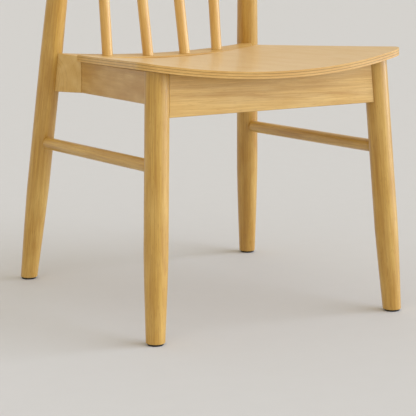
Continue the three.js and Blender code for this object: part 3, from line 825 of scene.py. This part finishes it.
@dataclass
class LegSet:
    """Two splayed front legs, two posts that lean in and forward, and their glides."""

    seat: SeatSurface
    bench: Bench
    front_lean: Vector = vector(-0.0483, 0.0736, 1)
    rear_lean: Vector = vector(-0.0701, -0.1184, 1)
    radius: float = 20.5
    front_taper: Pair = (15.8, 150.0)
    rear_taper: Pair = (15.4, 180.0)
    taper_ease: float = 0.35
    taper_steps: int = 14
    below_floor: float = 2.0
    blank_length: float = 520.0
    foot_arris: float = 1.2
    seat_arris: float = 0.4
    top_arris: float = 2.0
    cope_start: float = 300.0
    cope_length: float = 200.0
    cope_steps: int = 96
    post_top: float = 751.7
    post_profile: tuple[Pair, ...] = (
        (20.5, 425.4),
        (19.1, 540.0),
        (17.5, 630.0),
        (15.2, 700.0),
        (14.0, 790.0),
    )
    glide_radius: float = 13.5
    glide_height: float = 3.0
    glide_rim: tuple[Pair, ...] = ((1.4, 0.0), (0.5, 0.3), (0.0, 1.2))
    glide_chamfer: float = 0.4
    bolt_heights: Pair = (383.0, 412.0)
    bolt_direction: Vector = vector(-0.6, -0.8, 0)
    recess_radius: float = 6.3
    recess_depth: float = 8.0
    run_out: float = 10.0
    # Shares darker that the legs are painted: a tone for all and more on the right-hand pieces,
    # plus painted shade on the rear posts, which stand in shade under the seat.
    tone: float = 0.12
    rear_painted_shade: float = 0.1
    right_tone: float = 0.12

    def foot(self, end: End, side: Side) -> Vector:
        """Where a leg's axis meets the floor."""
        low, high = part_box(f"foot_glide_{end.value}_{side.word}")
        middle = (low + high) / 2 / METRES
        return Vector((middle.x, middle.y - self.bench.origin, 0))

    def direction(self, end: End, side: Side) -> Vector:
        """The way a leg's axis runs, up from its foot, for each millimetre of height."""
        lean = self.front_lean if end is End.FRONT else self.rear_lean
        return Vector((side.value * lean.x, lean.y, 1))

    def axis(self, end: End, side: Side, height: float) -> Vector:
        """The point of a leg's axis at a height."""
        return self.foot(end, side) + self.direction(end, side) * height

    def room(self, end: End, side: Side) -> BMesh:
        """A round bar on a leg's axis, with room for the fit, that copes what meets the leg."""
        bar = rod(self.radius + FIT, self.cope_length, self.cope_steps)
        return aim(bar, self.axis(end, side, self.cope_start), self.direction(end, side))

    def taper_profile(self, taper: Pair) -> Outline:
        """Traces the taper at a foot, a cone that eases into the round leg.

        Args:
            taper: Radius at the foot and length of the taper.

        Returns:
            Pairs of radius and height, from the axis outward.
        """
        foot, length = taper
        profile = [(0.0, 0.0)]
        for i in range(self.taper_steps + 1):
            share = i / self.taper_steps
            ease = self.taper_ease * math.sin(share * math.pi / 2)
            swell = ease + (1 - self.taper_ease) * share
            profile.append((foot + (self.radius - foot) * swell, share * length))
        return profile

    def grain(self, end: End, side: Side, seed: float) -> Grain:
        """Grain that runs up a leg, with the pith outside it."""
        rear, right = end is End.REAR, side is Side.RIGHT
        return Grain(
            along=self.direction(end, side),
            facing=round_facing(40 + 73 * seed),
            centre=self.bench.in_frame(self.axis(end, side, 200)),
            pith=52,
            seed=seed,
            # the rear posts take painted shade on top of their tone
            dark=self.tone + self.rear_painted_shade * rear + self.right_tone * right,
        )

    def stood(self, end: End, side: Side, profile: Sequence[Pair]) -> BMesh:
        """Turns a leg, stands it in its place and saws its foot off level."""
        start = self.axis(end, side, -self.below_floor)
        bm = aim(turned(profile), start, self.direction(end, side))
        saw_off(bm, UP * (self.glide_height + FIT), -UP, self.foot_arris)
        return bm

    def front_leg(self, side: Side) -> BMesh:
        """A front leg, sawn off level at the floor and under the seat."""
        top = self.blank_length
        profile = [*self.taper_profile(self.front_taper), (self.radius, top), (0, top)]
        bm = self.stood(End.FRONT, side, profile)
        top = self.axis(End.FRONT, side, self.seat.height)
        top.z = self.seat.underside(top.x, top.y)
        slope = top.x / (self.seat.radius + self.seat.thickness)
        saw_off(bm, top, Vector((-slope, self.seat.tilt, 1)), self.seat_arris)
        return bm

    def rear_post(self, side: Side) -> BMesh:
        """A rear post, which grows thinner above the seat."""
        slant = self.direction(End.REAR, side).length
        upper = smooth_line([(radius, height * slant) for radius, height in self.post_profile])
        lower = self.taper_profile(self.rear_taper)
        profile = [*lower, *upper, (0, self.post_profile[-1][1] * slant)]
        bm = self.stood(End.REAR, side, profile)
        saw_off(bm, UP * self.post_top, UP, self.top_arris)
        return bm

    def recesses(self, side: Side) -> list[BMesh]:
        """The round recesses in the back of a post that its bolt heads sit in."""
        way = Vector((side.value * self.bolt_direction.x, self.bolt_direction.y, 0))
        depth = self.recess_depth + self.run_out
        back = way * (self.recess_depth - self.radius - depth)
        return [
            aim(rod(self.recess_radius, depth), self.axis(End.REAR, side, height) + back, way)
            for height in self.bolt_heights
        ]

    def glide(self, end: End, side: Side) -> BMesh:
        """A thin round glide under a leg, with a soft lower rim."""
        r, top = self.glide_radius, self.glide_height
        lower = [(r - inset, height) for inset, height in self.glide_rim]
        upper = [(r, top - self.glide_chamfer), (r - self.glide_chamfer, top)]
        profile = [(0, 0), *lower, *upper, (0, top)]
        return aim(turned(profile), self.foot(end, side), UP)

    def build(self) -> None:
        """Makes the legs, the posts and the glides."""
        plastic = GLIDE_PLASTIC.material("moulded_black_glide")
        for number, side in enumerate(Side):
            name, grain = f"front_leg_{side.word}", self.grain(End.FRONT, side, 1.0 + number)
            self.bench.wooden(name, self.front_leg(side), LEG_WOOD, grain, "leg_wood")
            name, grain = f"rear_post_{side.word}", self.grain(End.REAR, side, 4.0 + number)
            post, cutters = self.rear_post(side), self.recesses(side)
            self.bench.wooden(name, post, LEG_WOOD, grain, "leg_wood", cutters)
            for end in End:
                name = f"foot_glide_{end.value}_{side.word}"
                self.bench.hand_in(name, self.glide(end, side), [plastic], "glide_plastic")


# ---- rails under the seat


@dataclass
class RearRailForm:
    """Sizes of the deep rear rail between the posts, which the panel and side rails stop at."""

    front_half: float = 181.0
    front_y: float = 402.0
    front_bow: float = 10.0
    back_half: float = 193.0
    back_y: float = 464.0
    back_bow: float = 13.0
    horn: Pair = (209.5, 466.0)
    horn_back: Pair = (201.5, 471.0)
    top: float = 425.4
    bottom: float = 365.0
    dish: float = 2450.0

    def face(self, x: float) -> float:
        """Depth of the bowed front face at a distance from the middle."""
        return self.front_y - self.front_bow * (1 - (x / self.front_half) ** 2)

    def outline(self) -> Outline:
        """Plan of the rail, from its front left corner round to its left horn."""
        front = bowed(self.front_half, self.front_y, self.front_bow, BOW_STEPS)
        back = bowed(self.back_half, self.back_y, self.back_bow, BOW_STEPS)[::-1]
        right = [self.horn, self.horn_back]
        left = [(-x, y) for x, y in reversed(right)]
        return [*front, *right, *back, *left]


@dataclass
class SeatFrame:
    """The front, side and rear rails that join the legs and carry the seat panel."""

    seat: SeatSurface
    legs: LegSet
    bench: Bench
    rear: RearRailForm = field(default_factory=RearRailForm)
    front_bottom: float = 370.0
    front_thickness: float = 25.0
    side_thickness: float = 22.0
    side_reach: float = 14.0
    front_cells: tuple[int, int, int] = (44, 2, 3)
    side_cells: tuple[int, int, int] = (30, 2, 3)
    side_front: Vector = vector(217, 42, 391)
    side_rear: Vector = vector(169, 402, 365)
    arris: float = 1.3

    def front_place(self, u: float, v: float, w: float) -> Vector:
        """A point of the front rail, which leans with the legs and ends inside them."""
        lean = math.atan(self.legs.front_lean.y)
        root = self.legs.axis(End.FRONT, Side.RIGHT, self.front_bottom)
        half = self.front_thickness / 2
        up = Vector((0, math.sin(lean), math.cos(lean)))
        across = Vector((0, math.cos(lean), -math.sin(lean)))
        base = Vector((u * root.x, root.y, root.z)) + across * (v * half) - UP * half * up.y
        tall = (self.seat.underside(base.x, base.y) - base.z) / up.z
        return base + up * tall * (w + 1) / 2

    def side_place(self, side: Side, u: float, v: float, w: float) -> Vector:
        """A point of a side rail, which stops inside the front leg and at the rear rail."""
        run = self.side_rear - self.side_front
        plan = Vector((side.value * run.x, run.y, 0)).normalized()
        across = Vector((plan.y, -plan.x, 0))
        start = Vector((side.value * self.side_front.x, self.side_front.y, 0))
        start -= plan * self.side_reach
        offset = across * (v * self.side_thickness / 2)
        length = (self.side_rear.y - start.y) / plan.y
        # three steps bring the end onto the bowed face
        for _ in range(3):
            tip = start + offset + plan * length
            length += (self.rear.face(tip.x) - FIT - tip.y) / plan.y
        spot = start + offset + plan * (length * (u + 1) / 2)
        slope = run.z / run.y
        low = self.side_front.z + slope * (spot.y - self.side_front.y)
        high = self.seat.underside(spot.x, spot.y)
        spot.z = low + (high - low) * (w + 1) / 2
        return spot

    def rear_place(self, x: float, y: float, share: float) -> Vector:
        """A point of the rear rail, between its tilted bottom and its shallow dished top."""
        low = self.rear.bottom - math.tan(self.seat.tilt) * (y - self.rear.front_y)
        high = self.rear.top + self.seat.rise(x, self.rear.dish)
        return Vector((x, y, low + share * (high - low)))

    def build(self) -> None:
        """Makes the four rails."""
        coped = [self.legs.room(End.FRONT, side) for side in Side]
        middle = self.bench.in_frame(self.front_place(0, 0, 0))
        grain = Grain(Vector((1, 0.006, -0.018)), Vector((0, -1, 0.75)), middle, pith=44, seed=11)
        rail = board(self.front_cells, self.front_place, self.arris)
        self.bench.wooden("front_rail", rail, RAIL_WOOD, grain, "rail_wood", coped)

        run = self.side_rear - self.side_front
        for number, side in enumerate(Side):
            grain = Grain(
                along=Vector((side.value * run.x, run.y, run.z)),
                facing=Vector((side.value, 0, 0.2)),
                centre=self.bench.in_frame(self.side_place(side, 0, 0, 0)),
                pith=63,
                seed=14 + number,
                # painted shade: the side rails face away from the light, so their wood is painted
                # darker than the front rail's
                dark=0.45,
            )
            rail = board(self.side_cells, partial(self.side_place, side), self.arris)
            coped = [self.legs.room(End.FRONT, side)]
            name = f"side_rail_{side.word}"
            self.bench.wooden(name, rail, RAIL_WOOD, grain, "rail_wood", coped)

        rail = slab(self.rear.outline(), self.rear_place, self.arris, STRIP)
        middle = self.bench.in_frame(self.rear_place(0, self.rear.front_y + 30, 0.5))
        # painted shade: the rear rail's wood is painted a share darker for the shade it stands in
        # behind the seat
        grain = Grain(
            Vector((1, 0.01, 0.012)), Vector((0, -1, 0.1)), middle, pith=58, seed=17, dark=0.15
        )
        coped = [self.legs.room(End.REAR, side) for side in Side]
        self.bench.wooden("rear_rail", rail, RAIL_WOOD, grain, "rail_wood", coped)


# ---- seat panel


@dataclass
class SeatPanel:
    """The bent plywood seat, with its plies showing all round the edge."""

    seat: SeatSurface
    rear_rail: RearRailForm
    bench: Bench
    front_half: float = 256.5
    front_y: float = 6.0
    bow: float = 39.0
    rear_half: float = 188.5
    corner: float = 28.0
    plies: tuple[float, ...] = (0.0, 0.26, 0.36, 0.64, 0.74, 1.0)
    groove: float = 0.12
    front_steps: int = 64
    corner_steps: int = 10
    side_steps: int = 24
    arris: float = 1.2

    def outline(self) -> Outline:
        """Plan of the panel: bowed front, rounded corners, straight sides, hollow back."""
        half = self.front_half - self.corner
        drop = self.bow * (1 - (half / self.front_half) ** 2)
        edge_y = self.front_y - drop
        front = bowed(half, edge_y, self.bow - drop, self.front_steps)
        rear_y = self.rear_rail.front_y - FIT
        slope = (self.rear_half - self.front_half) / (rear_y - self.front_y)
        tangent = (self.front_half + slope * self.corner, self.front_y + self.corner)
        tip = (self.front_half, self.front_y)
        corner = []
        for i in range(1, self.corner_steps):
            t = i / self.corner_steps
            corner.append(
                tuple(
                    (1 - t) ** 2 * a + 2 * t * (1 - t) * b + t * t * c
                    for a, b, c in zip((half, edge_y), tip, tangent)
                )
            )
        run = (self.rear_half - tangent[0], rear_y - tangent[1])
        straight = [
            tuple(start + length * i / self.side_steps for start, length in zip(tangent, run))
            for i in range(self.side_steps + 1)
        ]
        right = [*corner, *straight]
        left = [(-x, y) for x, y in reversed(right)]
        span = self.rear_rail.front_half
        xs = [span - 2 * span * i / BOW_STEPS for i in range(BOW_STEPS + 1)]
        back = [(x, self.rear_rail.face(x) - FIT) for x in xs]
        return [*front, *right, *back, *left]

    def mesh(self) -> BMesh:
        """The panel, with a fine groove at each glue line and each ply's faces numbered."""
        inner = self.plies[1:-1]
        bm = slab(self.outline(), lambda *spot: Vector(spot), 0.0, STRIP, inner)
        for vert in bm.verts:
            if any(abs(vert.co.z - line) < 1e-4 for line in inner):
                outward = Vector((vert.normal.x, vert.normal.y, 0)).normalized()
                vert.co -= outward * self.groove
        for face in bm.faces:
            if abs(face.normal.z) < 0.5:
                level = face.calc_center_median().z
                ply = sum(level > line for line in inner)
                face.material_index = 1 + ply % 2
        edges = rims(bm)
        for vert in bm.verts:
            vert.co = self.seat.place(*vert.co)
        soften(bm, edges, self.arris)
        tidy_up(bm)
        return bm

    def build(self) -> None:
        """Makes the panel with its face veneer and its two kinds of ply."""
        middle = self.bench.in_frame(self.seat.place(0, 200, 0.5))
        along = Vector((0, 1, -self.seat.tilt))
        veneer = SEAT_VENEER.material("seat_veneer", Grain(along, UP, middle, 130, 21))
        across = Grain(Vector((1, 0, 0)), UP, middle, 60, 23)
        plies = [
            LONG_PLY.material("pale_ply_edge", across),
            CROSS_PLY.material("brown_ply_edge", across),
        ]
        self.bench.hand_in("seat_panel", self.mesh(), [veneer, *plies], "seat_plywood", sharp=50)


# ---- back


@dataclass
class Back:
    """Four leaning spindles and the crest rail that they carry with the posts."""

    rear_rail: RearRailForm
    seat: SeatSurface
    bench: Bench
    spindles: tuple[tuple[float, float, float], ...] = ((38.5, 414.4, 0.228), (115.0, 429.0, 0.128))
    radius: float = 10.0
    top_radius: float = 7.5
    waist: tuple[Pair, ...] = ((0.0, 0.0), (0.55, 0.0), (0.75, 0.7))
    spindle_steps: int = 32
    tenon: float = 10.0
    foot_gap: float = 0.1
    foot_arris: float = 0.3
    top_arris: float = 0.6
    crest_bottom: float = 752.0
    crest_height: float = 56.0
    crest_radius: float = 326.0
    crest_centre: float = 167.0
    crest_thickness: float = 26.0
    crest_spread: float = math.radians(38.5)
    crest_arris: float = 3.5
    crest_steps: int = 56
    cap_steps: int = 16
    crest_strip: float = 16.0

    def spindle(self, x: float, y: float, lean: float) -> BMesh:
        """A spindle that stands on the rear rail and grows thinner to its top."""
        way = Vector((0, lean, 1))
        base = Vector((x, y, self.rear_rail.top)) - way * self.tenon
        length = (self.crest_bottom + self.tenon - base.z) * way.length
        lower = [(self.radius - less, share * length) for share, less in self.waist]
        upper = smooth_line([*lower, (self.top_radius, length)])
        bm = aim(turned([(0, 0), *upper, (0, length)], self.spindle_steps), base, way)
        rise = self.seat.rise(x, self.rear_rail.dish)
        foot = Vector((x, y, self.rear_rail.top + rise + self.foot_gap))
        slope = x / self.rear_rail.dish
        saw_off(bm, foot, Vector((slope, 0, -1)), self.foot_arris)
        saw_off(bm, UP * (self.crest_bottom - FIT), UP, self.top_arris)
        return bm

    def crest_outline(self) -> Outline:
        """Plan of the crest rail: one bent board with round ends."""
        centre = (0.0, self.crest_centre)
        half = self.crest_thickness / 2
        start, end = math.pi / 2 - self.crest_spread, math.pi / 2 + self.crest_spread
        outer = arc(centre, self.crest_radius + half, start, end, self.crest_steps)
        inner = arc(centre, self.crest_radius - half, end, start, self.crest_steps)
        caps = []
        for angle, turn in ((end, end), (start, start + math.pi)):
            tip = arc(centre, self.crest_radius, angle, angle, 1)[0]
            caps.append(arc(tip, half, turn, turn + math.pi, self.cap_steps)[1:-1])
        return [*outer, *caps[0], *inner, *caps[1]]

    def crest_place(self, x: float, y: float, share: float) -> Vector:
        """A point of the crest rail, which stands upright."""
        return Vector((x, y, self.crest_bottom + share * self.crest_height))

    def build(self) -> None:
        """Makes the spindles and the crest rail."""
        places = [(side.value * x, y, lean) for side in Side for x, y, lean in self.spindles]
        for number, (x, y, lean) in enumerate(sorted(places), 1):
            name = f"spindle_{number}"
            grain = Grain(
                along=Vector((0, lean, 1)),
                facing=round_facing(61 * number),
                centre=self.bench.in_frame(Vector((x, y, 600))),
                pith=36,
                seed=30 + number,
            )
            spindle = self.spindle(x, y, lean)
            self.bench.wooden(name, spindle, SLIM_WOOD, grain, "turned_wood")
        crest = slab(self.crest_outline(), self.crest_place, self.crest_arris, self.crest_strip)
        height = self.crest_bottom + self.crest_height / 2
        middle = self.bench.in_frame(Vector((0, self.crest_centre + self.crest_radius, height)))
        grain = Grain(Vector((1, 0, 0.01)), Vector((0, -1, 0.3)), middle, pith=90, seed=41)
        self.bench.wooden("crest_rail", crest, RAIL_WOOD, grain, "rail_wood")


# ---- stretchers


@dataclass
class Stretchers:
    """A round bar on each side, from the front leg down to the rear post."""

    legs: LegSet
    bench: Bench
    radius: float = 11.0
    tenon: float = 7.0
    front_height: float = 289.0
    rear_height: float = 264.5
    shoulders: Pair = (0.7, 2.0)
    dome: float = 7.0
    dome_steps: int = 8
    tenon_length: float = 4.0

    def end_profile(self, shoulder: float) -> Outline:
        """Radius over distance from a leg's axis, of the rounded end that meets the leg."""
        start = self.legs.radius + shoulder
        depth = 1 - (self.tenon / self.radius) ** 2
        inside = start - self.tenon_length
        outline = [(0.0, inside), (self.tenon, inside)]
        for i in range(self.dome_steps + 1):
            share = i / self.dome_steps
            radius = self.radius * math.sqrt(1 - (1 - share) ** 2 * depth)
            outline.append((radius, start + share * self.dome))
        return outline

    def bar(self, side: Side) -> tuple[BMesh, Vector, Vector]:
        """A stretcher with the point that it starts from and its direction."""
        front = self.legs.axis(End.FRONT, side, self.front_height)
        rear = self.legs.axis(End.REAR, side, self.rear_height)
        way = rear - front
        near = self.end_profile(self.shoulders[0])
        far = [(r, way.length - s) for r, s in reversed(self.end_profile(self.shoulders[1]))]
        return aim(turned([*near, *far]), front, way), front, way

    def build(self) -> None:
        """Makes both stretchers."""
        for number, side in enumerate(Side):
            bm, start, way = self.bar(side)
            centre = self.bench.in_frame(start + way / 2)
            grain = Grain(way, Vector((0.3, 0, 1)), centre, pith=30, seed=50 + number)
            name = f"side_stretcher_{side.word}"
            self.bench.wooden(name, bm, LEG_WOOD, grain, "turned_wood")


# ---- hidden pieces


@dataclass
class HiddenPieces:
    """Blocks, dowels, screws, bolts and inserts: CAD pieces that only take a finish."""

    bench: Bench

    def dress(self, word: str, material: bpy.types.Material) -> int:
        """Gives a finish to every CAD node whose name holds a word, and counts them."""
        nodes = [node for name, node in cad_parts.items() if word in name]
        for node in nodes:
            node.data.materials.clear()
            node.data.materials.append(material)
        return len(nodes)

    def build(self) -> None:
        """Dresses the hidden pieces."""
        middle = Vector((0, 0, 0.4))
        block = Grain(Vector((1, 0.2, 0)), UP, middle, 40, 61)
        dowel = Grain(Vector((1, 0, 0)), UP, middle, 20, 63)
        finishes = {
            "corner_block": SAWN_WOOD.material("sawn_block_wood", block),
            "rear_cleat": SAWN_WOOD.material("sawn_cleat_wood", block),
            "_dowel_": DOWEL_WOOD.material("bare_beech", dowel),
            "screw": ZINC_STEEL.material("bright_zinc_screw"),
            "threaded_insert": ZINC_STEEL.material("bright_zinc_insert"),
            "post_bolt": BLACK_STEEL.material("black_zinc_bolt"),
        }
        for word, material in finishes.items():
            LOG.info("%s: %d pieces", material.name, self.dress(word, material))


# ---- studio


@dataclass
class Lamp:
    """A broad soft light from far away, as from a window."""

    name: str
    side: Vector
    spread: float
    power: float
    colour: str = "ffffff"

    def build(self) -> None:
        """Hangs the light."""
        data = bpy.data.lights.new(self.name, "SUN")
        data.angle = math.radians(self.spread)
        data.energy = self.power
        data.color = linear(self.colour)[:3]
        lamp = placed(self.name, data)
        lamp.rotation_euler = self.side.to_track_quat("Z", "Y").to_euler()


@dataclass
class Studio:
    """A pale floor, soft light and the camera."""

    bench: Bench
    camera_place: Vector = vector(-1450.3, -2432.7, 773.8)
    yaw: float = math.radians(28.39)
    pitch: float = math.radians(7.62)
    lens: float = 148.15
    drop: float = 0.2692
    sensor: float = 36.0
    far_limit: float = 100.0
    floor_size: float = 30.0
    room_colour: str = "f5ead6"
    room_strength: float = 0.79
    lamps: tuple[Lamp, ...] = (
        Lamp("window_light", Vector((0.78, -0.6, 0.4)), 62, 2.5, "e8f0ff"),
        Lamp("side_window", Vector((0.96, -0.26, 0.04)), 22, 1.1, "e6efff"),
        Lamp("room_light", Vector((-0.35, -0.75, 0.9)), 70, 0.35, "ffffff"),
    )

    def floor(self) -> None:
        """Lays a large, plain, pale floor with a dull sheen."""
        bm = bmesh.new()
        bmesh.ops.create_grid(bm, x_segments=1, y_segments=1, size=self.floor_size)
        mesh = bpy.data.meshes.new("studio_floor")
        bm.to_mesh(mesh)
        bm.free()
        mesh.materials.append(PALE_FLOOR.material("pale_floor"))
        placed("studio_floor", mesh)

    def light(self) -> None:
        """Fills the room with pale light and hangs the lamps."""
        world = bpy.data.worlds.new("studio_world")
        world.use_nodes = True
        background = world.node_tree.nodes["Background"]
        background.inputs["Color"].default_value = linear(self.room_colour)
        background.inputs["Strength"].default_value = self.room_strength
        bpy.context.scene.world = world
        for lamp in self.lamps:
            lamp.build()

    def camera(self) -> None:
        """Sets the camera, whose lens is raised to keep the legs upright."""
        data = bpy.data.cameras.new("studio_camera")
        data.sensor_width = self.sensor
        data.lens = self.lens
        data.shift_y = -self.drop
        data.clip_end = self.far_limit
        camera = placed("studio_camera", data)
        camera.location = self.bench.in_frame(self.camera_place)
        camera.rotation_euler = (math.pi / 2 - self.pitch, 0, -self.yaw)
        bpy.context.scene.camera = camera

    def build(self) -> None:
        """Makes the studio."""
        bpy.context.scene.view_settings.view_transform = "Standard"
        self.camera()
        self.floor()
        self.light()


def main() -> None:
    """Builds the studio and then the chair, from the feet up."""
    logging.basicConfig(level=logging.INFO, format="%(message)s")
    bench = Bench()
    Studio(bench).build()
    seat = SeatSurface()
    legs = LegSet(seat, bench)
    seat_frame = SeatFrame(seat, legs, bench)
    legs.build()
    seat_frame.build()
    Stretchers(legs, bench).build()
    SeatPanel(seat, seat_frame.rear, bench).build()
    Back(seat_frame.rear, seat, bench).build()
    HiddenPieces(bench).build()


if __name__ == "__main__":
    main()
